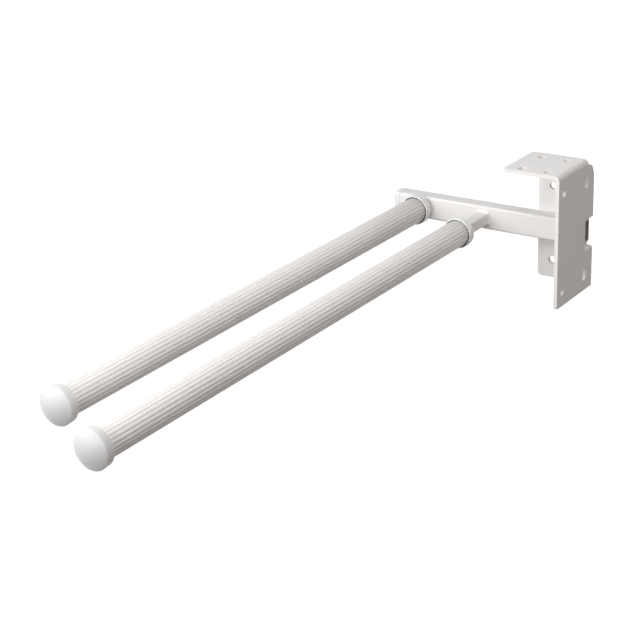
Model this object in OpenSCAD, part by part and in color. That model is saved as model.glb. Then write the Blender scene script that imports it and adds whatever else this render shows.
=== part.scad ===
// Pull-out towel holder for the inside of a kitchen or vanity cabinet.
// A bent steel bracket screws to the side, top or rear wall of the cabinet. It
// carries a cross tube with two square bars, and a reeded sleeve slides on each.
// Origin: middle of the four side screw holes, on the bracket's outer face.
// +X points out of that face into the cabinet wall, the arms run along -Y and
// +Z is up. All sizes are in millimetres.

/* [Bracket] */
// Height of the side plate
bracket_h = 111; // [100:1:140]
// Depth of the side plate, from its front edge to the rear face
bracket_d = 67; // [60:1:90]
// Width of the top and rear flanges, from the outer side face
flange_w = 49.5; // [44:0.5:70]
// Thickness of the steel sheet
sheet_t = 3; // [2:0.5:4]
// Inside radius of both bends
bend_in_r = 1.5; // [1:0.5:3]
// How far both flanges stop short of the corner where they would meet
corner_back = 14.5; // [12:0.5:20]
// Radius of the free corners of the flanges
flange_corner_r = 3; // [1:0.5:5]
// Radius of the lower front corner of the side plate
plate_corner_r = 2; // [1:0.5:5]

/* [Screw holes] */
// Diameter of the round side holes, and width of the side slots
side_hole_d = 6; // [4:0.5:7]
// End-to-end length of the side slots
side_slot_l = 11; // [8:0.5:16]
// Distance of the lower slot's middle from the lower edge
side_low = 14; // [10:0.5:20]
// Distance of the upper slot's middle from the top face
side_high = 18; // [16:0.5:22]
// Distance of the slots from the rear face
side_rear = 17.5; // [16:0.5:22]
// Distance of the round side holes from the front edge
side_front = 9; // [8:0.5:14]
// How far each round side hole stands above or below the middle of its slot
side_hole_out = 2; // [0:0.5:4]
// Diameter of the holes in the top flange
top_hole_d = 6.5; // [4:0.5:7]
// Distance between the top holes across the flange
top_col = 22; // [18:1:28]
// Distance of the rear top holes from the flange's rear edge
top_rear = 11; // [6:0.5:14]
// Distance of the outer top holes from the side face
top_edge = 13.5; // [10:0.5:16]
// Distance of the front top holes from the front edge
top_front = 7; // [6:0.5:12]
// Diameter of the holes in the rear flange
rear_hole_d = 6.5; // [4:0.5:8]
// Distance between the two rear holes
rear_row = 65; // [50:1:76]
// Distance of the rear holes from the flange's free edge
rear_edge = 13; // [9:0.5:18]

/* [Cross tube] */
// Height of the cross tube
tube_h = 20; // [16:1:26]
// Depth of the cross tube
tube_d = 15; // [12:1:20]
// Wall of the cross tube
tube_wall = 1.5; // [1:0.25:2.5]
// Radius of the cross tube's long edges
tube_edge_r = 2; // [1:0.25:3]
// Length of the cross tube
tube_l = 172.5; // [160:0.5:240]
// Distance of the tube's open end from the outer side face
tube_in = 3.5; // [3.5:0.5:6]
// Distance of the tube's middle below the top face
tube_drop = 63; // [56:1:68]
// Thickness of the end plug's head
plug_head = 6; // [3:0.5:10]
// Length of the end plug's spigot inside the tube
plug_spigot = 12; // [8:1:20]

/* [Window in the rear bend] */
// Width of the window in the rear bend, from the outer side face
window_w = 6.5; // [6:0.5:9]
// Depth of the window in the side plate, from the rear face
window_d = 17.5; // [14:0.5:19]
// Gap between the top of the cross tube and the window's upper edge
window_above = 2.5; // [1:0.5:5]
// Gap between the bottom of the cross tube and the window's lower edge
window_below = 4.5; // [3:0.5:6]
// Radius of the window's inner corners
window_r = 2; // [1:0.5:4]

/* [Arms] */
// Distance of the right arm's axis from the outer side face
arm_in = 93.5; // [80:0.5:110]
// Distance between the axes of the two arms
arm_pitch = 61.5; // [50:0.5:66]
// Width of the square bars
bar_w = 10; // [8:0.5:11]
// Radius of the long edges of the bars
bar_edge_r = 1.5; // [0.5:0.25:2]
// How far an arm pulls out from fully in
travel = 280; // [150:5:330]
// How far the left arm is pulled out as it stands here
left_out = 3.5; // [0:0.5:120]
// How far the right arm is pulled out as it stands here
right_out = 38; // [0:0.5:120]
// Outer diameter of the sleeve, over its reeds
sleeve_d = 22; // [21:0.5:26]
// Bore of the sleeve
sleeve_bore = 18.8; // [18:0.2:19.4]
// Length of the sleeve
sleeve_l = 445; // [420:5:520]
// Number of reeds round the sleeve
reeds = 23; // [16:1:30]
// Radius of one reed's rounded back
reed_r = 2.6; // [2:0.1:4]

/* [Collar and cap] */
// Diameter of the collar
collar_d = 25.4; // [24.5:0.1:30]
// Length of the collar outside the sleeve
collar_l = 7; // [6:0.5:12]
// Depth of the collar's recess round the end of the sleeve
collar_recess = 3; // [1.5:0.5:4]
// Gap round the sleeve in that recess
collar_gap = 0.8; // [0.3:0.1:0.8]
// Length of the collar's spigot inside the sleeve
collar_spigot = 12; // [8:1:20]
// Largest diameter of the end cap
cap_d = 28.2; // [26:0.2:32]
// Length of the cap's skirt, from its rim to its crease
cap_skirt = 7.5; // [6:0.5:14]
// Height of the cap's dome in front of its crease
cap_dome = 4.5; // [2:0.5:10]
// How far the cap covers the end of the sleeve
cap_cover = 5.5; // [4:0.5:6]

/* [Glide on the end of each bar] */
// Length of the glide
glide_l = 50; // [30:1:70]
// Wall of the glide in front of the bar's end
glide_wall = 4; // [3:0.5:8]
// Diameter of the screw that holds the glide
screw_d = 4; // [3:0.5:5]
// Length of that screw under its head
screw_l = 20; // [14:1:30]

/* [Fits] */
// Clearance all round the bar in the collar's square hole
bar_clear = 0.3; // [0.2:0.05:0.5]
// Clearance between the glide and the sleeve's bore
glide_clear = 0.3; // [0.2:0.05:0.5]
// Clearance of pieces that are pushed together and stay
push_clear = 0.05; // [0.02:0.01:0.1]
// Gap left between the collar and the cross tube with the arm fully in
home_gap = 0.3; // [0.2:0.1:1]

/* [Hidden] */
$fn = 64;

// Overrun of every cut
over = 1;

// Steps of a rounded edge, a fine edge and the cap's dome
edge_steps = 6;
fine_steps = 4;
dome_steps = 14;

// Faces and edges of the bracket, from the middle of the side screw holes
bend_r = bend_in_r + sheet_t;
side_row = bracket_h - side_high - side_low;
side_col = bracket_d - side_rear - side_front;
top_row = bracket_d - corner_back - top_front - top_rear;
rear_y = side_col / 2 + side_rear;
front_y = rear_y - bracket_d;
top_z = side_row / 2 + side_high;
bottom_z = top_z - bracket_h;
top_flange_y = rear_y - corner_back;
rear_flange_z = top_z - corner_back;

// Cross tube
tube_z = top_z - tube_drop;
tube_rear_y = rear_y - sheet_t;
tube_front_y = tube_rear_y - tube_d;
tube_left_x = -tube_in - tube_l;
tube_inner_r = max(tube_edge_r - tube_wall, tube_wall / 3);
plug_edge = 1;
plug_joint = 0.6;
plug_bore_wall = 2;

// Arms, measured forwards from the front of the cross tube
left_x = -arm_in - arm_pitch;
right_x = -arm_in;
sleeve_r = sleeve_d / 2;
bore_r = sleeve_bore / 2;
spigot_r = bore_r - push_clear;
collar_floor = collar_l - collar_recess;
collar_edge_r = 1;
collar_rim_r = 0.4;
spigot_end = collar_l + collar_spigot;
stop_gap = 0.3;
glide_rear = home_gap + spigot_end + travel + stop_gap;
bar_l = glide_rear + glide_l - glide_wall;
glide_r = bore_r - glide_clear;
glide_flat_w = 7;
glide_flat_d = 0.8;
glide_edge = 1;
screw_hole = screw_l - glide_wall;
screw_clear = 0.25;
head_r_share = 0.9;
head_h_share = 0.6;
cross_l_share = 1.1;
cross_w_share = 0.25;
washer_r_share = 1.15;
screw_head_r = screw_d * head_r_share;
screw_head_h = screw_d * head_h_share;
washer_t = 0.8;
washer_r = screw_d * washer_r_share;

// Cap
cap_rim_r = 0.6;
cap_taper = 0.4;
cap_crease_r = 1.3;
cap_bore_r = sleeve_r + push_clear;

// Weld beads
bead_r = 1.6;
bead_recess_clear = 0.6;
tube_bead_r = 2.4;
tube_bead_end = 4;

// A rectangle on its middle with all four corners rounded.
module round_rect(w, h, r) {
    square([w - 2 * r, h], center = true);
    square([w, h - 2 * r], center = true);
    for (sx = [-1, 1], sy = [-1, 1])
        translate([sx * (w / 2 - r), sy * (h / 2 - r)]) circle(r = r);
}

// Points of a round stretch, from angle a to angle b.
function arc(cx, cy, r, a, b, steps) =
    [for (i = [0 : steps]) [cx + r * cos(a + (b - a) * i / steps), cy + r * sin(a + (b - a) * i / steps)]];

// Quarter of a bent sheet, its middle on the axis, in the +X +Y corner.
module quarter_bend() {
    intersection() {
        difference() {
            circle(r = bend_r);
            circle(r = bend_in_r);
        }
        square(bend_r + over);
    }
}

// A flange seen flat: it starts at the bend and has two rounded free corners.
module flange_outline(w, l) {
    translate([-w, flange_corner_r]) square([w, l - 2 * flange_corner_r]);
    translate([flange_corner_r - w, 0]) square([w - flange_corner_r, l]);
    for (v = [flange_corner_r, l - flange_corner_r])
        translate([flange_corner_r - w, v]) circle(r = flange_corner_r);
}

// The side plate seen from outside: depth along X, height along Y.
module side_outline() {
    depth = bracket_d - bend_r;
    height = bracket_h - bend_r;
    round_r = corner_back - bend_r;
    difference() {
        square([depth, height]);
        square(plate_corner_r);
        translate([depth - round_r, height - round_r]) square(round_r + over);
    }
    translate([plate_corner_r, plate_corner_r]) circle(r = plate_corner_r);
    translate([depth - round_r, height - round_r]) circle(r = round_r);
}

// A round hole along X through the side plate.
module side_hole(y, z) translate([-sheet_t - over, y, z])
    rotate([0, 90, 0]) cylinder(d = side_hole_d, h = sheet_t + 2 * over);

// An upright slot along X through the side plate.
module side_slot(y, z) {
    straight = side_slot_l - side_hole_d;
    translate([-sheet_t - over, y, z]) rotate([90, 0, 90]) linear_extrude(sheet_t + 2 * over) {
        for (v = [-straight / 2, straight / 2]) translate([0, v]) circle(d = side_hole_d);
        square([side_hole_d, straight], center = true);
    }
}

// The window that clears the cross tube's open end, cut through the rear bend.
module window() {
    low = tube_z - tube_h / 2 - window_below;
    high = tube_z + tube_h / 2 + window_above;
    depth = window_d + window_r + over;
    translate([-window_w, rear_y - window_d + depth / 2, (low + high) / 2])
        rotate([90, 0, 90]) linear_extrude(window_w + over) round_rect(depth, high - low, window_r);
}

module bracket() color([0.93, 0.93, 0.92]) difference() {
    union() {
        translate([-sheet_t, front_y, bottom_z])
            rotate([90, 0, 90]) linear_extrude(sheet_t) side_outline();
        translate([-bend_r, top_flange_y, top_z - bend_r])
            rotate([90, 0, 0]) linear_extrude(top_flange_y - front_y) quarter_bend();
        translate([-bend_r, rear_y - bend_r, bottom_z])
            linear_extrude(rear_flange_z - bottom_z) quarter_bend();
        translate([-bend_r, front_y, top_z - sheet_t])
            linear_extrude(sheet_t) flange_outline(flange_w - bend_r, top_flange_y - front_y);
        translate([-bend_r, rear_y, bottom_z]) rotate([90, 0, 0])
            linear_extrude(sheet_t) flange_outline(flange_w - bend_r, rear_flange_z - bottom_z);
    }
    for (sz = [-1, 1]) {
        side_hole(-side_col / 2, sz * (side_row / 2 + side_hole_out));
        side_slot(side_col / 2, sz * side_row / 2);
    }
    for (i = [0, 1], j = [0, 1])
        translate([-top_edge - i * top_col, front_y + top_front + j * top_row, top_z - sheet_t - over])
            cylinder(d = top_hole_d, h = sheet_t + 2 * over);
    for (sz = [-1, 1])
        translate([rear_edge - flange_w, rear_y + over, tube_z + sz * rear_row / 2])
            rotate([90, 0, 0]) cylinder(d = rear_hole_d, h = sheet_t + 2 * over);
    window();
}

module cross_tube() color([0.94, 0.94, 0.93])
    translate([tube_left_x, tube_rear_y - tube_d / 2, tube_z])
        rotate([90, 0, 90]) linear_extrude(tube_l) difference() {
            round_rect(tube_d, tube_h, tube_edge_r);
            round_rect(tube_d - 2 * tube_wall, tube_h - 2 * tube_wall, tube_inner_r);
        }

// The plug's head covers the tube's end with a fine groove at the joint, and its
// hollow spigot sits in the bore.
module cross_tube_plug() color([0.97, 0.97, 0.97])
    translate([tube_left_x, tube_rear_y - tube_d / 2, tube_z]) rotate([90, 0, 90]) {
        bore_d = tube_d - 2 * (tube_wall + push_clear);
        bore_h = tube_h - 2 * (tube_wall + push_clear);
        translate([0, 0, -plug_head]) hull() {
            translate([0, 0, plug_edge])
                linear_extrude(plug_head - plug_edge - plug_joint)
                    round_rect(tube_d, tube_h, tube_edge_r, $fn = 24);
            linear_extrude(plug_head)
                round_rect(tube_d - 2 * plug_edge, tube_h - 2 * plug_edge, tube_edge_r, $fn = 24);
        }
        linear_extrude(plug_spigot) difference() {
            round_rect(bore_d, bore_h, tube_inner_r);
            square([bore_d - 2 * plug_bore_wall, bore_h - 2 * plug_bore_wall], center = true);
        }
    }

// A bead under the tube, in the corner between it and the rear flange.
module tube_welds() color([0.9, 0.9, 0.89]) {
    under_z = tube_z - tube_h / 2;
    bead_l = flange_w - window_w - 2 * tube_bead_end;
    difference() {
        union() {
            translate([-flange_w + tube_bead_end, tube_rear_y, under_z])
                rotate([0, 90, 0]) cylinder(r = tube_bead_r, h = bead_l);
            for (x = [-flange_w + tube_bead_end, -window_w - tube_bead_end])
                translate([x, tube_rear_y, under_z]) sphere(r = tube_bead_r);
        }
        translate([-flange_w - over, tube_rear_y, bottom_z]) cube([flange_w, sheet_t + over, bracket_h]);
        translate([-flange_w - over, tube_rear_y - tube_d / 2, tube_z])
            rotate([90, 0, 90]) linear_extrude(flange_w) round_rect(tube_d, tube_h, tube_edge_r);
    }
}

// One square bar, from the front of the cross tube to the far end of its glide.
module bar(x) translate([x, tube_front_y, tube_z]) rotate([90, 0, 0]) color([0.92, 0.92, 0.91])
    difference() {
        linear_extrude(bar_l) round_rect(bar_w, bar_w, bar_edge_r);
        translate([0, 0, bar_l - screw_hole]) cylinder(d = screw_d + 2 * push_clear, h = screw_hole + over);
    }

module left_bar() bar(left_x);

module right_bar() bar(right_x);

// Section of a weld bead in the corner between two faces.
module bead_section() {
    intersection() {
        circle(r = bead_r);
        square(bead_r + over);
    }
}

// A bead round the foot of each bar, where it is welded to the cross tube.
module bar_welds() color([0.9, 0.9, 0.89]) for (x = [left_x, right_x])
    translate([x, tube_front_y, tube_z]) rotate([90, 0, 0]) for (turn = [0 : 90 : 270]) rotate(turn) {
        foot = bar_w / 2 - bar_edge_r;
        translate([bar_w / 2, foot, 0]) rotate([90, 0, 0]) linear_extrude(2 * foot) bead_section();
        translate([foot, foot, 0]) rotate_extrude(angle = 90) translate([bar_edge_r, 0]) bead_section();
    }

// A plastic glide on the bar's end, with a flat on each side that lets air past.
module glide(x) translate([x, tube_front_y, tube_z]) rotate([90, 0, 0]) translate([0, 0, glide_rear])
    color([0.2, 0.2, 0.21]) difference() {
        rotate_extrude() polygon([[0, 0], [glide_r - glide_edge, 0], [glide_r, glide_edge],
            [glide_r, glide_l - glide_edge], [glide_r - glide_edge, glide_l], [0, glide_l]]);
        translate([0, 0, -over]) linear_extrude(glide_l - glide_wall + over)
            round_rect(bar_w + 2 * push_clear, bar_w + 2 * push_clear, bar_edge_r);
        cylinder(d = screw_d + 2 * screw_clear, h = glide_l + over);
        for (turn = [0 : 90 : 270]) rotate(turn) translate([glide_r - glide_flat_d, -glide_flat_w / 2, -over])
            cube([glide_flat_d + over, glide_flat_w, glide_l + 2 * over]);
    }

module left_glide() glide(left_x);

module right_glide() glide(right_x);

module glide_washers() color([0.75, 0.75, 0.76]) for (x = [left_x, right_x])
    translate([x, tube_front_y, tube_z]) rotate([90, 0, 0])
        translate([0, 0, glide_rear + glide_l]) difference() {
            cylinder(r = washer_r, h = washer_t);
            translate([0, 0, -over]) cylinder(d = screw_d + 2 * screw_clear, h = washer_t + 2 * over);
        }

module glide_screws() color([0.75, 0.75, 0.76]) for (x = [left_x, right_x])
    translate([x, tube_front_y, tube_z]) rotate([90, 0, 0])
        translate([0, 0, glide_rear + glide_l + washer_t]) difference() {
            union() {
                cylinder(r = screw_head_r, h = screw_head_h);
                translate([0, 0, -screw_l]) cylinder(d = screw_d, h = screw_l + over);
            }
            translate([0, 0, screw_head_h]) for (turn = [0, 90]) rotate(turn)
                cube([screw_d * cross_l_share, screw_d * cross_w_share, screw_head_h], center = true);
        }

// Puts its child at an arm: the collar's rear face is at zero and the arm runs up Z.
module on_arm(x, out) translate([x, tube_front_y - home_gap - out, tube_z]) rotate([90, 0, 0]) children();

// A reeded tube: convex reeds side by side round a plain bore.
module sleeve(turn) color([0.9, 0.89, 0.88]) translate([0, 0, collar_floor]) rotate(turn)
    linear_extrude(sleeve_l) difference() {
        union() {
            circle(r = (sleeve_r + bore_r) / 2);
            for (i = [0 : reeds - 1]) rotate(i * 360 / reeds)
                translate([sleeve_r - reed_r, 0]) circle(r = reed_r);
        }
        circle(r = bore_r);
    }

module left_sleeve() on_arm(left_x, left_out) sleeve(90);

module right_sleeve() on_arm(right_x, right_out) sleeve(90 + 180 / reeds);

// A collar with a recess round the sleeve's end, a spigot in its bore and a
// square hole that keeps the arm from turning on its bar.
module collar() color([0.95, 0.95, 0.95]) difference() {
    rotate_extrude() polygon(concat([[0, 0]],
        arc(collar_d / 2 - collar_edge_r, collar_edge_r, collar_edge_r, -90, 0, edge_steps),
        arc(collar_d / 2 - collar_rim_r, collar_l - collar_rim_r, collar_rim_r, 0, 90, fine_steps),
        [[sleeve_r + collar_gap, collar_l], [sleeve_r + collar_gap, collar_floor],
         [spigot_r, collar_floor], [spigot_r, spigot_end], [0, spigot_end]]));
    translate([0, 0, -over]) linear_extrude(spigot_end + 2 * over)
        round_rect(bar_w + 2 * bar_clear, bar_w + 2 * bar_clear, bar_edge_r + bar_clear);
    translate([0, 0, -over]) cylinder(h = over + bead_r + bead_recess_clear,
        r = (bar_w / 2 - bar_edge_r) * sqrt(2) + bar_edge_r + bead_r + bead_recess_clear);
}

module left_collar() on_arm(left_x, left_out) collar();

module right_collar() on_arm(right_x, right_out) collar();

// A cap over the sleeve's end: a slightly flared skirt, a soft crease, a low dome.
module cap() color([0.97, 0.97, 0.97])
    translate([0, 0, collar_floor + sleeve_l - cap_cover]) {
        base_r = cap_d / 2 - cap_crease_r;
        dome_r = (base_r * base_r + cap_dome * cap_dome) / (2 * cap_dome);
        dome_a = asin(base_r / dome_r);
        outer_r = dome_r + cap_crease_r;
        rim_x = cap_d / 2 - cap_taper - cap_rim_r;
        crease_z = cap_skirt - cap_crease_r * cos(dome_a);
        rotate_extrude() polygon(concat([[0, cap_cover], [cap_bore_r, cap_cover], [cap_bore_r, 0]],
            arc(rim_x, cap_rim_r, cap_rim_r, -90, 0, fine_steps),
            arc(base_r, crease_z, cap_crease_r, 0, 90 - dome_a, edge_steps),
            [for (i = [1 : dome_steps]) let (a = dome_a * (1 - i / dome_steps))
                [outer_r * sin(a), cap_skirt + outer_r * (cos(a) - cos(dome_a))]]));
    }

module left_cap() on_arm(left_x, left_out) cap();

module right_cap() on_arm(right_x, right_out) cap();

bracket();
cross_tube();
cross_tube_plug();
tube_welds();
left_bar();
right_bar();
bar_welds();
left_glide();
right_glide();
glide_washers();
glide_screws();
left_sleeve();
right_sleeve();
left_collar();
right_collar();
left_cap();
right_cap();
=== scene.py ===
"""Pull-out towel holder: finishes, reeded sleeves, weld beads, studio and camera."""

import math

import bmesh
import bpy
import numpy as np
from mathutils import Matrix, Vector


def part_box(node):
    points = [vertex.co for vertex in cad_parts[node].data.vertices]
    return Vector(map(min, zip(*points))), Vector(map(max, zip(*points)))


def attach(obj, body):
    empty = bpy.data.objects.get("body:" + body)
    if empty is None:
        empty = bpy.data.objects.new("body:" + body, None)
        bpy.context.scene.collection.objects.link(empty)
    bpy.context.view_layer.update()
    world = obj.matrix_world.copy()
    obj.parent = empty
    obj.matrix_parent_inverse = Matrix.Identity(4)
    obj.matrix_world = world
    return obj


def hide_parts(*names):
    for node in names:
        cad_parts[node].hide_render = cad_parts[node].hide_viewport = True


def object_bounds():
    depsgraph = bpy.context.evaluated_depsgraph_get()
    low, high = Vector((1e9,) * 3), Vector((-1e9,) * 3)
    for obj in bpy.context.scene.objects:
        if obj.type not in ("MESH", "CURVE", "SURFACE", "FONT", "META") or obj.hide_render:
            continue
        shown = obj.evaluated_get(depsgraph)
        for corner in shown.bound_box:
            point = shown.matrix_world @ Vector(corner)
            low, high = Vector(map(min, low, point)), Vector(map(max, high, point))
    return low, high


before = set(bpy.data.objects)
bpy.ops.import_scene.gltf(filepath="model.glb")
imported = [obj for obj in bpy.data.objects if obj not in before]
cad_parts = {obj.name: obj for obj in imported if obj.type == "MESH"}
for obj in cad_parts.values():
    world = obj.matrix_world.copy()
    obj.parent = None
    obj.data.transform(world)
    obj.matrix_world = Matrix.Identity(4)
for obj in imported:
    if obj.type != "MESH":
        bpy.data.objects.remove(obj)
cad_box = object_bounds()

bl_info = {
    "name": "Pull-out towel holder",
    "version": (1, 0, 0),
    "blender": (4, 5, 0),
    "location": "3D View > Sidebar > Towel holder",
    "description": "Finishes a cabinet towel holder and sets up its studio",
    "category": "Object",
}

MM = 0.001
ARMS = ("left", "right")
WHITE = (1.0, 1.0, 1.0)

# How far past a hidden edge a finish changes
EDGE_MARGIN = 0.1 * MM
# Points closer than this are the same point
MERGE_DISTANCE = 1e-7

# Places of the colour sockets on a Mix node
MIX_A = 6
MIX_B = 7
MIX_RESULT = 2

# Range that holds almost all of a noise texture's values
NOISE_RANGE = (0.3, 0.7)
# Detail of a noise texture
SMOOTH = 1.0
EVEN = 2.0
CLOUDY = 3.0


def box_middle(node):
    """Middle of a node's box."""
    low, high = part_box(node)
    return (low + high) / 2


def box_size(node):
    """Width, depth and height of a node's box."""
    low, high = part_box(node)
    return high - low


class TowelHolderSizes(bpy.types.PropertyGroup):
    """Sizes of the pieces that are modelled here."""

    reed_count: bpy.props.IntProperty(
        name="Reeds", description="Reeds round one sleeve", default=23, min=8, max=60)
    reed_radius: bpy.props.FloatProperty(
        name="Reed radius", description="Radius of one reed's rounded back",
        default=2.6 * MM, unit="LENGTH", precision=5)
    sleeve_bore: bpy.props.FloatProperty(
        name="Sleeve bore", description="Diameter of the sleeve's bore",
        default=18.8 * MM, unit="LENGTH", precision=5)
    # Painted shade: how far the dark of the collar's joint reaches beyond the sleeve's radius
    joint_shade_reach: bpy.props.FloatProperty(
        name="Joint width", description="Gap between the sleeve and the wall of the collar's recess",
        unit="LENGTH", default=0.85 * MM)
    sleeve_edge: bpy.props.FloatProperty(
        name="Sleeve edge", description="Broken edge at both ends of a sleeve",
        default=0.25 * MM, unit="LENGTH", precision=5)
    bar_edge: bpy.props.FloatProperty(
        name="Bar edge", description="Radius of a bar's long edges",
        default=1.5 * MM, unit="LENGTH", precision=5)
    tube_wall: bpy.props.FloatProperty(
        name="Tube wall", description="Wall of the cross tube",
        default=1.5 * MM, unit="LENGTH", precision=5)
    bead_pitch: bpy.props.FloatProperty(
        name="Bead pitch", description="Distance between the ripples of a weld bead",
        default=1.3 * MM, unit="LENGTH", precision=5)
    bead_ripple: bpy.props.FloatProperty(
        name="Bead ripple", description="Height of a ripple, as a share of the bead",
        default=0.07, min=0.0, max=0.5)


class TowelHolderFinish(bpy.types.PropertyGroup):
    """Colours and finishes."""

    paint_colour: bpy.props.FloatVectorProperty(
        name="Paint", description="Powder coat on the steel",
        subtype="COLOR", size=3, min=0.0, max=1.0, default=(0.862, 0.85, 0.838))
    paint_roughness: bpy.props.FloatProperty(
        name="Paint roughness", description="Roughness of the powder coat",
        subtype="FACTOR", default=0.42, min=0.0, max=1.0)
    # Bare steel inside the tube, darkened as painted shade of the unlit bore
    bare_steel_and_shade_colour: bpy.props.FloatVectorProperty(
        name="Bare steel", description="Inside of the cross tube",
        subtype="COLOR", size=3, min=0.0, max=1.0, default=(0.42, 0.39, 0.37))
    sleeve_colour: bpy.props.FloatVectorProperty(
        name="Sleeve", description="Coat on the reeded sleeves",
        subtype="COLOR", size=3, min=0.0, max=1.0, default=(0.895, 0.878, 0.864))
    # Painted shade at the bottom of the sleeves' grooves
    groove_shade_colour: bpy.props.FloatVectorProperty(
        name="Groove", description="Coat at the bottom of the grooves",
        subtype="COLOR", size=3, min=0.0, max=1.0, default=(0.66, 0.615, 0.585))
    collar_colour: bpy.props.FloatVectorProperty(
        name="Collar", description="White plastic of the collars and the tube's plug",
        subtype="COLOR", size=3, min=0.0, max=1.0, default=(0.88, 0.88, 0.875))
    # Painted shade in the open joint between collar and sleeve, where little light reaches
    joint_shade_colour: bpy.props.FloatVectorProperty(
        name="Joint", description="Dark of the open joint between collar and sleeve",
        subtype="COLOR", size=3, min=0.0, max=1.0, default=(0.05, 0.045, 0.04))
    # Painted shade: the caps' white plastic, made darker than the collars' to hold down the strong light on
    # the caps
    cap_plastic_shade_colour: bpy.props.FloatVectorProperty(
        name="Cap", description="White plastic of the caps",
        subtype="COLOR", size=3, min=0.0, max=1.0, default=(0.80, 0.80, 0.795))
    coat_gloss: bpy.props.FloatProperty(
        name="Coat gloss", description="Strength of the coat's reflections",
        min=0.0, max=1.0, default=0.22)
    plastic_gloss: bpy.props.FloatProperty(
        name="Plastic gloss", description="Strength of the white plastic's reflections",
        min=0.0, max=1.0, default=0.35)
    plastic_depth: bpy.props.FloatProperty(
        name="Plastic depth", description="How far light spreads inside the white plastic of the caps",
        unit="LENGTH", default=6 * MM)
    collar_depth: bpy.props.FloatProperty(
        name="Collar depth", description="How far light spreads inside the collars and the plug",
        unit="LENGTH", default=1 * MM)
    glide_colour: bpy.props.FloatVectorProperty(
        name="Black plastic", description="Glides inside the sleeves",
        subtype="COLOR", size=3, min=0.0, max=1.0, default=(0.05, 0.05, 0.055))
    zinc_colour: bpy.props.FloatVectorProperty(
        name="Zinc", description="Screws and washers",
        subtype="COLOR", size=3, min=0.0, max=1.0, default=(0.68, 0.68, 0.70))


class TowelHolderStage(bpy.types.PropertyGroup):
    """Camera, lamps, floor and background."""

    camera_place: bpy.props.FloatVectorProperty(
        name="Camera place", description="Where the camera stands",
        subtype="TRANSLATION", unit="LENGTH", size=3,
        default=(501.51 * MM, -1060.74 * MM, 417.19 * MM))
    camera_turn: bpy.props.FloatVectorProperty(
        name="Camera turn", description="The camera's turns about X, Y and Z",
        subtype="EULER", unit="ROTATION", size=3,
        default=(math.radians(67.402), math.radians(2.271), math.radians(34.478)))
    camera_lens: bpy.props.FloatProperty(
        name="Lens", description="Focal length in millimetres for a 36 mm frame",
        default=86.27)
    left_power: bpy.props.FloatProperty(
        name="Left softbox", description="Power of the main softbox, in watts", default=6.1)
    left_place: bpy.props.FloatVectorProperty(
        name="Left softbox place", description="Where the main softbox stands",
        subtype="TRANSLATION", unit="LENGTH", size=3, default=(-0.70, -0.80, 0.50))
    top_power: bpy.props.FloatProperty(
        name="Top softbox", description="Power of the softbox over the arms, in watts", default=5.3)
    top_place: bpy.props.FloatVectorProperty(
        name="Top softbox place", description="Where the softbox over the arms hangs",
        subtype="TRANSLATION", unit="LENGTH", size=3, default=(0.05, -0.50, 0.74))
    right_power: bpy.props.FloatProperty(
        name="Right softbox", description="Power of the fill on the side plate, in watts", default=0.9)
    right_place: bpy.props.FloatVectorProperty(
        name="Right softbox place", description="Where the fill on the side plate stands",
        subtype="TRANSLATION", unit="LENGTH", size=3, default=(0.60, -0.15, 0.22))
    back_power: bpy.props.FloatProperty(
        name="Back softbox", description="Power of the fill behind the holder, in watts", default=5.2)
    back_place: bpy.props.FloatVectorProperty(
        name="Back softbox place", description="Where the fill behind the holder stands",
        subtype="TRANSLATION", unit="LENGTH", size=3, default=(-0.25, 1.3, -0.25))
    softbox_side: bpy.props.FloatProperty(
        name="Softbox side", description="Side length of the softboxes", unit="LENGTH", default=0.8)
    front_strength: bpy.props.FloatProperty(
        name="Front light", description="Strength of the soft light from the front", default=1.08)
    front_from: bpy.props.FloatVectorProperty(
        name="Front light from", description="Direction in which the front light stands",
        subtype="DIRECTION", size=3, default=(0.0, -0.99, 0.13))
    front_spread: bpy.props.FloatProperty(
        name="Front spread", description="Angle that the front light spans",
        unit="ROTATION", default=math.radians(35))
    warm_colour: bpy.props.FloatVectorProperty(
        name="Warm", description="Colour of the fill and of the room's light",
        subtype="COLOR", size=3, default=(1.0, 0.915, 0.88))
    room_light: bpy.props.FloatProperty(
        name="Room light", description="Light from the room's walls", default=0.05)
    floor_drop: bpy.props.FloatProperty(
        name="Floor drop", description="Distance from the holder down to the floor",
        unit="LENGTH", default=0.30)
    floor_side: bpy.props.FloatProperty(
        name="Floor side", description="Side length of the floor", unit="LENGTH", default=12.0)
    floor_colour: bpy.props.FloatVectorProperty(
        name="Floor", description="Colour of the floor",
        subtype="COLOR", size=3, min=0.0, max=1.0, default=(0.32, 0.295, 0.28))
    floor_level: bpy.props.FloatProperty(
        name="Floor level", description="Glow that the camera sees far away on the floor", default=0.985)
    floor_fall: bpy.props.FloatProperty(
        name="Floor fall", description="How much less the floor glows under the main softbox",
        default=0.22)


def sizes():
    """The scene's sizes."""
    return bpy.context.scene.towel_holder_sizes


def finish():
    """The scene's finishes."""
    return bpy.context.scene.towel_holder_finish


def stage():
    """The scene's camera, lamp and floor settings."""
    return bpy.context.scene.towel_holder_stage


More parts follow.
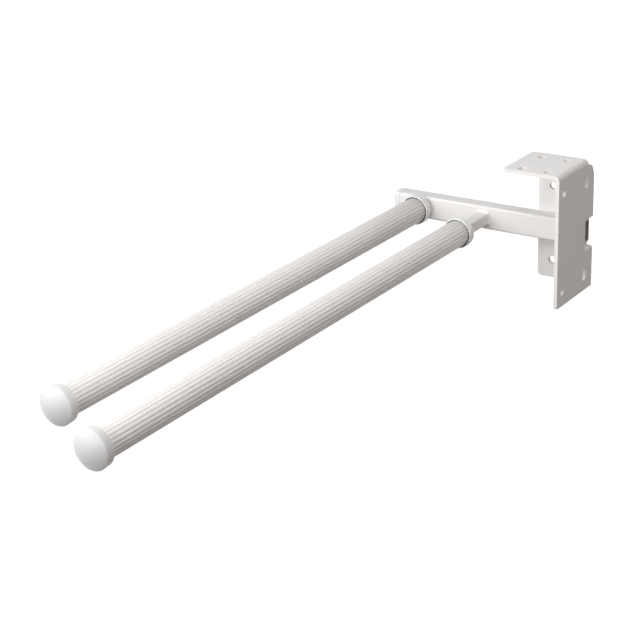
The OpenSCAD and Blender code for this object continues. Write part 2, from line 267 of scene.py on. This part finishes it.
class Nodes:
    """A short way to build a material's node tree."""

    def __init__(self, name):
        self.material = bpy.data.materials.new(name)
        self.material.use_nodes = True
        self.tree = self.material.node_tree
        self.shader = self.tree.nodes["Principled BSDF"]
        self.base = self.shader.inputs["Base Color"]
        self.place = self.add("ShaderNodeTexCoord").outputs["Object"]

    def add(self, kind, **settings):
        """A new node, with its settings and the values of its sockets."""
        node = self.tree.nodes.new(kind)
        for key, value in settings.items():
            if key in node.inputs:
                node.inputs[key].default_value = value
            else:
                setattr(node, key, value)
        return node

    def link(self, source, target):
        """Joins two sockets."""
        self.tree.links.new(source, target)

    def noise(self, size, detail=EVEN, along=1.0):
        """Noise with features of about this size, that many times as long along Y."""
        mapping = self.add("ShaderNodeMapping")
        mapping.inputs["Scale"].default_value = (1 / size, 1 / (size * along), 1 / size)
        self.link(self.place, mapping.inputs["Vector"])
        noise = self.add("ShaderNodeTexNoise", Scale=1.0, Detail=detail)
        self.link(mapping.outputs["Vector"], noise.inputs["Vector"])
        return noise.outputs["Fac"]

    def spread(self, source, low=0.0, high=1.0):
        """Carries noise, which stays near its middle, to a range of values."""
        spread = self.add("ShaderNodeMapRange")
        spread.inputs["From Min"].default_value = NOISE_RANGE[0]
        spread.inputs["From Max"].default_value = NOISE_RANGE[1]
        spread.inputs["To Min"].default_value = low
        spread.inputs["To Max"].default_value = high
        self.link(source, spread.inputs["Value"])
        return spread.outputs["Result"]

    def maths(self, operation, *values):
        """The result of a maths node on sockets or numbers."""
        node = self.add("ShaderNodeMath", operation=operation)
        for socket, value in zip(node.inputs, values):
            if isinstance(value, bpy.types.NodeSocket):
                self.link(value, socket)
            else:
                socket.default_value = value
        return node.outputs["Value"]

    def mix(self, factor, colour_a, colour_b):
        """Colour a where the factor is 0, and colour b where it is 1."""
        mix = self.add("ShaderNodeMix", data_type="RGBA")
        self.link(factor, mix.inputs["Factor"])
        for place, colour in ((MIX_A, colour_a), (MIX_B, colour_b)):
            socket = mix.inputs[place]
            if isinstance(colour, bpy.types.NodeSocket):
                self.link(colour, socket)
            else:
                socket.default_value = (*colour, 1.0)
        return mix.outputs[MIX_RESULT]

    def axes(self):
        """The three coordinates of the point that is shaded."""
        split = self.add("ShaderNodeSeparateXYZ")
        self.link(self.place, split.inputs["Vector"])
        return split.outputs

    def tint(self, pattern, colour, shades):
        """Colours the surface with a pattern that runs between two shades of a colour."""
        dark, light = shades
        self.link(self.mix(pattern, shade(colour, dark), shade(colour, light)), self.base)

    def paint_over(self, where, colour):
        """Another colour where the factor is 1, over what the surface has so far."""
        self.link(self.mix(where, self.base.links[0].from_socket, tuple(colour)), self.base)

    def polish(self, size, roughness, along=1.0):
        """A gloss that wanders between two roughnesses in patches of this size."""
        self.link(self.spread(self.noise(size, EVEN, along), *roughness), self.shader.inputs["Roughness"])

    def relief(self, *layers):
        """Bumps laid over each other, each from a noise and its real depth in metres."""
        normal = None
        for height, depth in layers:
            normal = self.bump(height, depth, normal)
        self.link(normal, self.shader.inputs["Normal"])

    def bump(self, height, depth, under=None):
        """Bump of a real depth in metres, laid over another one where that is given."""
        bump = self.add("ShaderNodeBump", Strength=1.0, Distance=depth)
        self.link(height, bump.inputs["Height"])
        if under is not None:
            self.link(under, bump.inputs["Normal"])
        return bump.outputs["Normal"]


def shade(colour, share):
    """A colour made darker or lighter by a share."""
    return tuple(c * share for c in colour)


# Powder coat: shades of its clouds, and the sizes and depths of its texture
COAT_SHADES = (0.985, 1.01)
COAT_CLOUD = 35 * MM
COAT_GLOSS_PATCH = 6 * MM
COAT_GLOSS_SPREAD = 0.05
COAT_PEEL = 1.6 * MM
COAT_PEEL_DEPTH = 0.02 * MM
COAT_GRAIN = 0.35 * MM
COAT_GRAIN_DEPTH = 0.004 * MM


def powder_coat_nodes(name):
    """Satin powder coat: fine orange peel, faint clouds in the white, and an uneven gloss."""
    m = Nodes(name)
    rough = finish().paint_roughness
    m.shader.inputs["Specular IOR Level"].default_value = finish().coat_gloss
    m.tint(m.spread(m.noise(COAT_CLOUD, CLOUDY)), finish().paint_colour, COAT_SHADES)
    m.polish(COAT_GLOSS_PATCH, (rough - COAT_GLOSS_SPREAD, rough + COAT_GLOSS_SPREAD))
    m.relief((m.noise(COAT_PEEL, SMOOTH), COAT_PEEL_DEPTH), (m.noise(COAT_GRAIN, SMOOTH), COAT_GRAIN_DEPTH))
    return m


def powder_coat():
    """The powder coat of the bracket, the bars and the weld beads."""
    return powder_coat_nodes("white_powder_coat").material


def tube_coat():
    """The powder coat, and bare steel inside the tube, where the coat doesn't reach, its dark partly
    painted shade of the unlit bore.

    A point is inside where both of its distances from the tube's axis are less than the bore's.
    """
    m = powder_coat_nodes("white_tube_coat")
    size = box_size("cross_tube")
    middle = box_middle("cross_tube")
    wall = sizes().tube_wall - EDGE_MARGIN
    place = m.axes()
    away_y = m.maths("ABSOLUTE", m.maths("SUBTRACT", place["Y"], middle.y))
    away_z = m.maths("ABSOLUTE", m.maths("SUBTRACT", place["Z"], middle.z))
    share_y = m.maths("DIVIDE", away_y, size.y / 2 - wall)
    share_z = m.maths("DIVIDE", away_z, size.z / 2 - wall)
    # Bare steel and painted shade: the dark colour fills the tube's bore
    m.paint_over(m.maths("LESS_THAN", m.maths("MAXIMUM", share_y, share_z), 1.0), finish().bare_steel_and_shade_colour)
    return m.material


# Coat on the sleeves: die lines and streaks run along Y, many times as long as they are wide
SLEEVE_SHADES = (0.975, 1.012)
DIE_LINE = 0.5 * MM
DIE_LINE_RUN = 400.0
SLEEVE_STREAK = 4 * MM
SLEEVE_STREAK_RUN = 20.0
SLEEVE_ROUGHNESS = (0.33, 0.43)
DRAWN_LINE = 0.4 * MM
DRAWN_LINE_RUN = 300.0
DRAWN_LINE_DEPTH = 0.006 * MM
SLEEVE_PEEL = 1.4 * MM
SLEEVE_PEEL_DEPTH = 0.008 * MM
# Power of a point's depth in its groove by which painted shade darkens the coat
GROOVE_SHADE_POWER = 3.0


def sleeve_coat():
    """Satin coat on an extrusion: die lines along its length, and painted shade that darkens its grooves.
    """
    m = Nodes("white_sleeve_coat")
    m.shader.inputs["Specular IOR Level"].default_value = finish().coat_gloss
    m.tint(m.spread(m.noise(DIE_LINE, EVEN, DIE_LINE_RUN)), finish().sleeve_colour, SLEEVE_SHADES)
    depth = m.add("ShaderNodeAttribute", attribute_name="groove").outputs["Fac"]
    # Painted shade: the coat darkens towards the bottom of each groove
    m.paint_over(m.maths("POWER", depth, GROOVE_SHADE_POWER), finish().groove_shade_colour)
    m.polish(SLEEVE_STREAK, SLEEVE_ROUGHNESS, SLEEVE_STREAK_RUN)
    drawn = m.noise(DRAWN_LINE, EVEN, DRAWN_LINE_RUN)
    m.relief((drawn, DRAWN_LINE_DEPTH), (m.noise(SLEEVE_PEEL, SMOOTH), SLEEVE_PEEL_DEPTH))
    return m.material


# White plastic: the marks of its flow in the mould, its gloss and its grain
PLASTIC_SHADES = (0.99, 1.008)
PLASTIC_FLOW = 18 * MM
PLASTIC_GLOSS_PATCH = 3 * MM
PLASTIC_ROUGHNESS = (0.36, 0.44)
PLASTIC_GRAIN = 0.3 * MM
PLASTIC_GRAIN_DEPTH = 0.006 * MM
# Share of the plastic's light that comes from inside
PLASTIC_GLOW = 0.6


def plastic_nodes(name, colour, depth):
    """Moulded white plastic, which light enters to a depth: a fine even grain and a soft sheen."""
    m = Nodes(name)
    m.shader.inputs["Specular IOR Level"].default_value = finish().plastic_gloss
    m.shader.inputs["Subsurface Weight"].default_value = PLASTIC_GLOW
    m.shader.inputs["Subsurface Radius"].default_value = WHITE
    m.shader.inputs["Subsurface Scale"].default_value = depth
    m.tint(m.spread(m.noise(PLASTIC_FLOW)), colour, PLASTIC_SHADES)
    m.polish(PLASTIC_GLOSS_PATCH, PLASTIC_ROUGHNESS)
    m.relief((m.noise(PLASTIC_GRAIN), PLASTIC_GRAIN_DEPTH))
    return m


def cap_plastic():
    """The plastic of the caps, darker than the collars' as painted shade against the strong light on them.
    """
    return plastic_nodes("white_moulded_plastic", finish().cap_plastic_shade_colour, finish().plastic_depth).material


def collar_plastic():
    """The plastic of the collars and the plug, with painted shade in each open joint between collar and
    sleeve.

    A point is in the joint where its distance from the arm's axis is less than the radius of the
    collar's recess and it lies in front of the recess's floor, at the sleeve's rear end.
    """
    m = plastic_nodes("white_collar_plastic_with_joint_shade", finish().collar_colour, finish().collar_depth)
    place = m.axes()
    joint_shades = []
    for arm in ARMS:
        middle = box_middle(arm + "_sleeve")
        size = box_size(arm + "_sleeve")
        x = m.maths("SUBTRACT", place["X"], middle.x)
        z = m.maths("SUBTRACT", place["Z"], middle.z)
        square = m.maths("ADD", m.maths("MULTIPLY", x, x), m.maths("MULTIPLY", z, z))
        within = m.maths("LESS_THAN", m.maths("SQRT", square), size.x / 2 + sizes().joint_shade_reach)
        ahead = m.maths("LESS_THAN", place["Y"], middle.y + size.y / 2 + EDGE_MARGIN)
        joint_shades.append(m.maths("MULTIPLY", within, ahead))
    # Painted shade: the collar's faces in the joint get the dark joint colour
    m.paint_over(m.maths("MAXIMUM", *joint_shades), finish().joint_shade_colour)
    return m.material


# Black nylon: rub marks along Y, gloss and grain
NYLON_SHADES = (1.0, 1.6)
NYLON_RUB = 2 * MM
NYLON_RUB_RUN = 12.0
NYLON_GLOSS_PATCH = 1.5 * MM
NYLON_ROUGHNESS = (0.45, 0.65)
NYLON_GRAIN = 0.3 * MM
NYLON_GRAIN_DEPTH = 0.01 * MM


def black_plastic():
    """Moulded black nylon, dull from sliding."""
    m = Nodes("black_moulded_nylon")
    m.tint(m.spread(m.noise(NYLON_RUB, CLOUDY, NYLON_RUB_RUN)), finish().glide_colour, NYLON_SHADES)
    m.polish(NYLON_GLOSS_PATCH, NYLON_ROUGHNESS)
    m.relief((m.noise(NYLON_GRAIN), NYLON_GRAIN_DEPTH))
    return m.material


# Zinc plating: its spangle, gloss and unevenness
ZINC_SHADES = (0.9, 1.0)
ZINC_SPANGLE = 1.2 * MM
ZINC_GLOSS_PATCH = 0.8 * MM
ZINC_ROUGHNESS = (0.25, 0.4)
ZINC_DENT = 0.5 * MM
ZINC_DENT_DEPTH = 0.006 * MM


def zinc_plate():
    """Bright zinc plating with its faint cloudy spangle."""
    m = Nodes("zinc_plate")
    m.shader.inputs["Metallic"].default_value = 1.0
    m.tint(m.spread(m.noise(ZINC_SPANGLE, CLOUDY)), finish().zinc_colour, ZINC_SHADES)
    m.polish(ZINC_GLOSS_PATCH, ZINC_ROUGHNESS)
    m.relief((m.noise(ZINC_DENT), ZINC_DENT_DEPTH))
    return m.material


MAKERS = {
    "painted_steel": powder_coat,
    "painted_tube": tube_coat,
    "reeded_sleeve": sleeve_coat,
    "white_plastic": cap_plastic,
    "white_collar": collar_plastic,
    "black_plastic": black_plastic,
    "zinc_steel": zinc_plate,
}

# Materials that have been made, by name
made = {}


def material(name):
    """One of the materials, made the first time that it is asked for."""
    if name not in made:
        made[name] = MAKERS[name]()
    return made[name]


def dress(node, slot, name=None):
    """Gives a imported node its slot, and that slot's material or another one."""
    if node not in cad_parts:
        raise RuntimeError(f"The packed model has no piece named {node}")
    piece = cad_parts[node]
    piece.data.materials.clear()
    piece.data.materials.append(material(name or slot))


# Edges that turn by more than this stay sharp
SLEEVE_CREASE = math.radians(35)
BEAD_CREASE = math.radians(50)


def surface_piece(name, grid, slot, body, stands_for, crease, **values):
    """A closed piece from a grid of points, rows by columns by 3, that wraps round both ways.

    Neighbouring points are joined by quads. Rows that shrink to a point become poles, and the loose
    edge that is left between two poles is taken out. Edges that turn by more than the crease stay
    sharp. Each value is one number per point.
    """
    rows, columns = grid.shape[:2]
    index = np.arange(rows * columns).reshape(rows, columns)
    down = np.roll(index, -1, 0)
    quads = np.stack([index, np.roll(index, -1, 1), np.roll(down, -1, 1), down], -1).reshape(-1, 4)
    mesh = bpy.data.meshes.new(name)
    mesh.from_pydata(grid.reshape(-1, 3), [], quads)
    for key, value in values.items():
        layer = mesh.attributes.new(key, "FLOAT", "POINT")
        layer.data.foreach_set("value", value.astype(np.float32).ravel())
    work = bmesh.new()
    work.from_mesh(mesh)
    bmesh.ops.remove_doubles(work, verts=work.verts, dist=MERGE_DISTANCE)
    bmesh.ops.delete(work, geom=[edge for edge in work.edges if edge.is_wire], context="EDGES")
    bmesh.ops.recalc_face_normals(work, faces=work.faces)
    if not all(edge.is_manifold for edge in work.edges):
        raise RuntimeError(f"The surface of {name} isn't closed")
    for face in work.faces:
        face.smooth = True
    for edge in work.edges:
        edge.smooth = edge.calc_face_angle() < crease
    work.to_mesh(mesh)
    work.free()
    mesh.materials.append(material(slot))
    piece = bpy.data.objects.new(name, mesh)
    bpy.context.scene.collection.objects.link(piece)
    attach(piece, body)
    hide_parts(stands_for)
    return piece


# Points across one reed
REED_POINTS = 10
# Shares of a sleeve's length that have a ring of points between its ends
RING_SHARES = (0.25, 0.5, 0.75)
# Share of the broken edge at which it has a ring of its own
EDGE_SHARE = 0.3


def reeded_radius(angle, radius, reed, count):
    """Radius of a ring of round reeds at an angle.

    Reeds of their own radius stand side by side on a circle of the radius less the reed, and the
    line from the axis meets the nearest one's far side.
    """
    pitch = 2 * math.pi / count
    off = (angle + pitch / 2) % pitch - pitch / 2
    centre = radius - reed
    return centre * np.cos(off) + np.sqrt(reed ** 2 - (centre * np.sin(off)) ** 2)


def sleeve_grid(middle, rear, front, radius, turn):
    """Points of a reeded tube along Y, and how deep in a groove each is.

    A point lies at angle u from the axis at a radius of bore + s (reeded radius - bore), where the
    share s goes from 0 on the bore to 1 on the reeds and eases over a broken edge at both ends.
    """
    size = sizes()
    bore = size.sleeve_bore / 2
    edge = size.sleeve_edge
    points = size.reed_count * REED_POINTS
    angle = 2 * math.pi * np.arange(points) / points
    reeded = reeded_radius(angle, radius, size.reed_radius, size.reed_count)
    wall = radius - bore
    length = rear - front
    eased = edge * EDGE_SHARE
    end = [(0, 0), (0, 1 - edge / wall), (eased, 1 - eased / wall), (edge, 1)]
    run = [(length * share, 1) for share in RING_SHARES]
    stations = end + run + [(length - y, s) for y, s in reversed(end)]
    y = rear - np.array([y for y, _ in stations])[:, None]
    share = np.array([s for _, s in stations])[:, None]
    r = bore + share * (reeded - bore)
    grid = np.stack([middle.x + r * np.cos(angle + turn), np.broadcast_to(y, r.shape),
                     middle.z + r * np.sin(angle + turn)], -1)
    depth = (reeded.max() - reeded) / (reeded.max() - reeded.min())
    return grid, share * depth


# Points round a bar's foot, along a straight bead and over a bead's back
FOOT_POINTS = 360
SEAM_POINTS = 161
BEAD_POINTS = 10
# Fewest ripples that a bead has, and the level from which they rise and fall
LEAST_RIPPLES = 4
RIPPLE_LEVEL = 0.6


def ripples(length):
    """How many ripples a weld bead of this length has."""
    return max(LEAST_RIPPLES, round(length / sizes().bead_pitch))


def rippled(bead, count):
    """Size of a bead after that many of its ripples: bead (1 + ripple (|sin(pi count)| - level))."""
    return bead * (1 + sizes().bead_ripple * (np.abs(np.sin(math.pi * count)) - RIPPLE_LEVEL))


def rounded_square(half, radius, count):
    """Points and outward normals round a square with rounded corners, evenly spaced by length.

    One side runs straight and its corner turns by path length over the corner's radius, and four
    copies of the two, each turned a quarter further, make the whole way round.
    """
    side = 2 * (half - radius)
    corner = math.pi * radius / 2
    s = np.arange(count) / count * 4 * (side + corner)
    quarter = np.floor(s / (side + corner))
    s = s - quarter * (side + corner)
    along = np.minimum(s, side)
    turn = np.maximum(s - side, 0) / radius
    x = half - radius + radius * np.cos(turn)
    z = along - side / 2 + radius * np.sin(turn)
    out = np.stack([np.cos(turn), np.sin(turn)], -1)
    place = np.stack([x, z], -1)
    a = quarter * math.pi / 2
    rotate = np.stack([np.stack([np.cos(a), -np.sin(a)], -1), np.stack([np.sin(a), np.cos(a)], -1)], -2)
    return (rotate @ place[..., None])[..., 0], (rotate @ out[..., None])[..., 0]


def foot_bead_grid(middle, face, half, radius, bead):
    """Points of a weld bead round a square bar's foot.

    At path length s and angle v from the tube's face, a point stands off the bar's foot line by
    the rippled bead's size at s, along out cos v + forward sin v.
    """
    place, out = rounded_square(half, radius, FOOT_POINTS)
    length = 4 * (2 * (half - radius) + math.pi * radius / 2)
    s = np.arange(FOOT_POINTS) / FOOT_POINTS
    v = np.linspace(0, math.pi / 2, BEAD_POINTS)
    reach = rippled(bead, s * ripples(length))[:, None]
    x = middle.x + place[:, :1] + out[:, :1] * reach * np.cos(v)
    z = middle.z + place[:, 1:] + out[:, 1:] * reach * np.cos(v)
    y = face - reach * np.sin(v)
    skin = np.stack([x, y, z], -1)
    root = np.stack([middle.x + place[:, 0], np.full(FOOT_POINTS, face), middle.z + place[:, 1]], -1)
    return np.concatenate([root[:, None], skin], 1)


def seam_bead_grid(start, end, corner_y, corner_z, bead):
    """Points of a straight weld bead along X in the corner under the cross tube.

    At x and angle v a point stands off the corner line by e(x) times the rippled bead's size,
    along -Y cos v - Z sin v, where e(x) rounds both ends off like an ellipse.
    """
    t = np.linspace(0, 1, SEAM_POINTS)
    x = start + (end - start) * t
    tip = bead / (end - start)
    rise = np.clip(np.minimum(t, 1 - t) / tip, 0, 1)
    ease = np.sqrt(1 - (1 - rise) ** 2)
    reach = (ease * rippled(bead, t * ripples(end - start)))[:, None]
    v = np.linspace(0, math.pi / 2, BEAD_POINTS)
    y = corner_y - reach * np.cos(v)
    z = corner_z - reach * np.sin(v)
    skin = np.stack([np.broadcast_to(x[:, None], y.shape), y, z], -1)
    root = np.stack([x, np.full(SEAM_POINTS, corner_y), np.full(SEAM_POINTS, corner_z)], -1)
    return np.concatenate([root[:, None], skin], 1)


class TOWELHOLDER_OT_bracket(bpy.types.Operator):
    """Paint the bent bracket"""

    bl_idname = "towel_holder.bracket"
    bl_label = "Bracket"

    def execute(self, context):
        dress("bracket", "painted_steel")
        return {"FINISHED"}


class TOWELHOLDER_OT_cross_tube(bpy.types.Operator):
    """Paint the cross tube and its plug, and lay the bead that joins it to the bracket"""

    bl_idname = "towel_holder.cross_tube"
    bl_label = "Cross tube"

    def execute(self, context):
        dress("cross_tube", "painted_steel", "painted_tube")
        dress("cross_tube_plug", "white_plastic", "white_collar")
        low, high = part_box("tube_welds")
        tube_low, tube_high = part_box("cross_tube")
        bead = tube_low.z - low.z
        grid = seam_bead_grid(low.x, high.x, tube_high.y, tube_low.z, bead)
        surface_piece("tube_weld_bead", grid, "painted_steel", "bracket", "tube_welds", BEAD_CREASE)
        return {"FINISHED"}


class TOWELHOLDER_OT_bars(bpy.types.Operator):
    """Paint the square bars and lay the beads round their feet"""

    bl_idname = "towel_holder.bars"
    bl_label = "Bars"

    def execute(self, context):
        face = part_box("cross_tube")[0].y
        bead = box_size("bar_welds").y
        for arm in ARMS:
            bar = arm + "_bar"
            dress(bar, "painted_steel")
            half = box_size(bar).x / 2
            grid = foot_bead_grid(box_middle(bar), face, half, sizes().bar_edge, bead)
            surface_piece(bar + "_bead", grid, "painted_steel", "bracket", "bar_welds", BEAD_CREASE)
        return {"FINISHED"}


class TOWELHOLDER_OT_glides(bpy.types.Operator):
    """Finish the hidden glides, washers and screws"""

    bl_idname = "towel_holder.glides"
    bl_label = "Glides"

    def execute(self, context):
        for arm in ARMS:
            dress(arm + "_glide", "black_plastic")
        dress("glide_washers", "zinc_steel")
        dress("glide_screws", "zinc_steel")
        return {"FINISHED"}


class TOWELHOLDER_OT_sleeves(bpy.types.Operator):
    """Make the reeded sleeves"""

    bl_idname = "towel_holder.sleeves"
    bl_label = "Sleeves"

    def execute(self, context):
        upright = math.pi / 2
        half_reed = math.pi / sizes().reed_count
        # The left sleeve has a reed on top and the right one a groove
        for arm, turn in zip(ARMS, (upright, upright + half_reed)):
            node = arm + "_sleeve"
            low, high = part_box(node)
            middle = box_middle(arm + "_bar")
            radius = max(high.z - middle.z, middle.z - low.z)
            grid, depth = sleeve_grid(middle, high.y, low.y, radius, turn)
            # The groove depth goes along as the mask of the painted shade in the grooves
            surface_piece("reeded_" + node, grid, "reeded_sleeve", arm + "_arm", node,
                          SLEEVE_CREASE, groove=depth)
        return {"FINISHED"}


class TOWELHOLDER_OT_collars_and_caps(bpy.types.Operator):
    """Finish the collars and the caps"""

    bl_idname = "towel_holder.collars_and_caps"
    bl_label = "Collars and caps"

    def execute(self, context):
        for arm in ARMS:
            dress(arm + "_collar", "white_plastic", "white_collar")
            dress(arm + "_cap", "white_plastic")
        return {"FINISHED"}


def seen_by_camera(tree):
    """A factor that is 1 where the camera sees a surface straight, mirrored or through glass."""
    path = tree.nodes.new("ShaderNodeLightPath")
    total = path.outputs["Is Camera Ray"]
    for name in ("Is Glossy Ray", "Is Transmission Ray"):
        pick = tree.nodes.new("ShaderNodeMath")
        pick.operation = "MAXIMUM"
        tree.links.new(total, pick.inputs[0])
        tree.links.new(path.outputs[name], pick.inputs[1])
        total = pick.outputs["Value"]
    return total


def make_world():
    """White for the camera and in reflections, and the room's soft light for everything else."""
    world = bpy.data.worlds.new("studio")
    bpy.context.scene.world = world
    world.use_nodes = True
    tree = world.node_tree
    seen = tree.nodes.new("ShaderNodeMix")
    seen.data_type = "RGBA"
    seen.inputs[MIX_A].default_value = (*shade(stage().warm_colour, stage().room_light), 1.0)
    seen.inputs[MIX_B].default_value = (*WHITE, 1.0)
    tree.links.new(seen_by_camera(tree), seen.inputs["Factor"])
    tree.links.new(seen.outputs[MIX_RESULT], tree.nodes["Background"].inputs["Color"])


def floor_glow(m, ground):
    """What the camera sees of a floor at a height: white that makes up for the main softbox's light.

    It is level - fall (h2 / (h2 + d2)) squared, where h2 is the square of the softbox's height over
    the floor and d2 that of the distance from its foot: the law of the softbox's light.
    """
    softbox = Vector(stage().left_place)
    away = m.add("ShaderNodeVectorMath", operation="DISTANCE")
    away.inputs[1].default_value = (softbox.x, softbox.y, ground)
    m.link(m.place, away.inputs[0])
    h2 = (softbox.z - ground) ** 2
    d2 = m.maths("POWER", away.outputs["Value"], 2.0)
    share = m.maths("DIVIDE", h2, m.maths("ADD", d2, h2))
    fall = m.maths("MULTIPLY", m.maths("POWER", share, 2.0), stage().floor_fall)
    glow = m.maths("SUBTRACT", stage().floor_level, fall)
    return m.maths("MULTIPLY", glow, seen_by_camera(m.tree))


# A dull floor that mirrors nothing
FLOOR_ROUGHNESS = 0.9
FLOOR_GLOSS = 0.0


def floor_material(ground):
    """Matt and pale, white to the camera, and clear from below."""
    m = Nodes("pale_floor")
    m.base.default_value = (*stage().floor_colour, 1.0)
    m.shader.inputs["Roughness"].default_value = FLOOR_ROUGHNESS
    m.shader.inputs["Specular IOR Level"].default_value = FLOOR_GLOSS
    m.shader.inputs["Emission Color"].default_value = (*WHITE, 1.0)
    m.link(floor_glow(m, ground), m.shader.inputs["Emission Strength"])
    sides = m.add("ShaderNodeMixShader")
    m.link(m.add("ShaderNodeNewGeometry").outputs["Backfacing"], sides.inputs[0])
    m.link(m.shader.outputs["BSDF"], sides.inputs[1])
    m.link(m.add("ShaderNodeBsdfTransparent").outputs["BSDF"], sides.inputs[2])
    m.link(sides.outputs["Shader"], m.tree.nodes["Material Output"].inputs["Surface"])
    return m.material


def make_floor():
    """A plain pale floor that keeps a soft shadow."""
    half = stage().floor_side / 2
    ground = cad_box[0].z - stage().floor_drop
    corners = [(x, y, ground) for x, y in ((-half, -half), (half, -half), (half, half), (-half, half))]
    mesh = bpy.data.meshes.new("floor")
    mesh.from_pydata(corners, [], [(0, 1, 2, 3)])
    mesh.materials.append(floor_material(ground))
    floor = bpy.data.objects.new("floor", mesh)
    bpy.context.scene.collection.objects.link(floor)


def make_lamp(name, kind, place, towards, **settings):
    """A lamp at a place that shines along a direction."""
    data = bpy.data.lights.new(name, kind)
    for key, value in settings.items():
        setattr(data, key, value)
    lamp = bpy.data.objects.new(name, data)
    bpy.context.scene.collection.objects.link(lamp)
    lamp.location = place
    lamp.rotation_euler = Vector(towards).to_track_quat("-Z", "Y").to_euler()


def make_lamps():
    """The front light, two softboxes on the arms, a warm fill on the bracket and one behind it."""
    front = Vector(stage().front_from)
    make_lamp("front", "SUN", front, -front, energy=stage().front_strength, angle=stage().front_spread)
    arms = (box_middle("left_sleeve") + box_middle("right_sleeve")) / 2
    bracket = box_middle("bracket")
    softboxes = (("left", arms, WHITE), ("top", arms, WHITE),
                 ("right", bracket, stage().warm_colour), ("back", bracket, WHITE))
    for name, aim, colour in softboxes:
        place = Vector(getattr(stage(), name + "_place"))
        make_lamp(name + "_softbox", "AREA", place, aim - place, color=colour,
                  energy=getattr(stage(), name + "_power"), size=stage().softbox_side)


def make_camera():
    """The camera at the photograph's viewing angle."""
    data = bpy.data.cameras.new("camera")
    data.lens = stage().camera_lens
    camera = bpy.data.objects.new("camera", data)
    bpy.context.scene.collection.objects.link(camera)
    camera.location = stage().camera_place
    camera.rotation_euler = stage().camera_turn
    bpy.context.scene.camera = camera


class TOWELHOLDER_OT_stage(bpy.types.Operator):
    """Set up the camera, the lamps, the floor and the background"""

    bl_idname = "towel_holder.stage"
    bl_label = "Stage"

    def execute(self, context):
        make_camera()
        make_world()
        make_floor()
        make_lamps()
        context.scene.view_settings.view_transform = "Standard"
        return {"FINISHED"}


OPERATORS = (
    TOWELHOLDER_OT_bracket,
    TOWELHOLDER_OT_cross_tube,
    TOWELHOLDER_OT_bars,
    TOWELHOLDER_OT_glides,
    TOWELHOLDER_OT_sleeves,
    TOWELHOLDER_OT_collars_and_caps,
    TOWELHOLDER_OT_stage,
)


class TOWELHOLDER_PT_panel(bpy.types.Panel):
    """Lists the towel holder's operators and settings"""

    bl_idname = "TOWELHOLDER_PT_panel"
    bl_label = "Towel holder"
    bl_space_type = "VIEW_3D"
    bl_region_type = "UI"
    bl_category = "Towel holder"

    def draw(self, context):
        for operator in OPERATORS:
            self.layout.operator(operator.bl_idname)
        for group in (sizes(), finish(), stage()):
            column = self.layout.column(align=True)
            for key in group.__annotations__:
                column.prop(group, key)


CLASSES = (TowelHolderSizes, TowelHolderFinish, TowelHolderStage, *OPERATORS, TOWELHOLDER_PT_panel)


def register():
    """Adds the classes and the scene's settings."""
    for cls in CLASSES:
        bpy.utils.register_class(cls)
    bpy.types.Scene.towel_holder_sizes = bpy.props.PointerProperty(type=TowelHolderSizes)
    bpy.types.Scene.towel_holder_finish = bpy.props.PointerProperty(type=TowelHolderFinish)
    bpy.types.Scene.towel_holder_stage = bpy.props.PointerProperty(type=TowelHolderStage)


def unregister():
    """Takes them out again."""
    del bpy.types.Scene.towel_holder_stage
    del bpy.types.Scene.towel_holder_finish
    del bpy.types.Scene.towel_holder_sizes
    for cls in reversed(CLASSES):
        bpy.utils.unregister_class(cls)


def main():
    """Makes every piece and the stage."""
    register()
    bpy.ops.towel_holder.bracket()
    bpy.ops.towel_holder.cross_tube()
    bpy.ops.towel_holder.bars()
    bpy.ops.towel_holder.glides()
    bpy.ops.towel_holder.sleeves()
    bpy.ops.towel_holder.collars_and_caps()
    bpy.ops.towel_holder.stage()


if __name__ == "__main__":
    main()
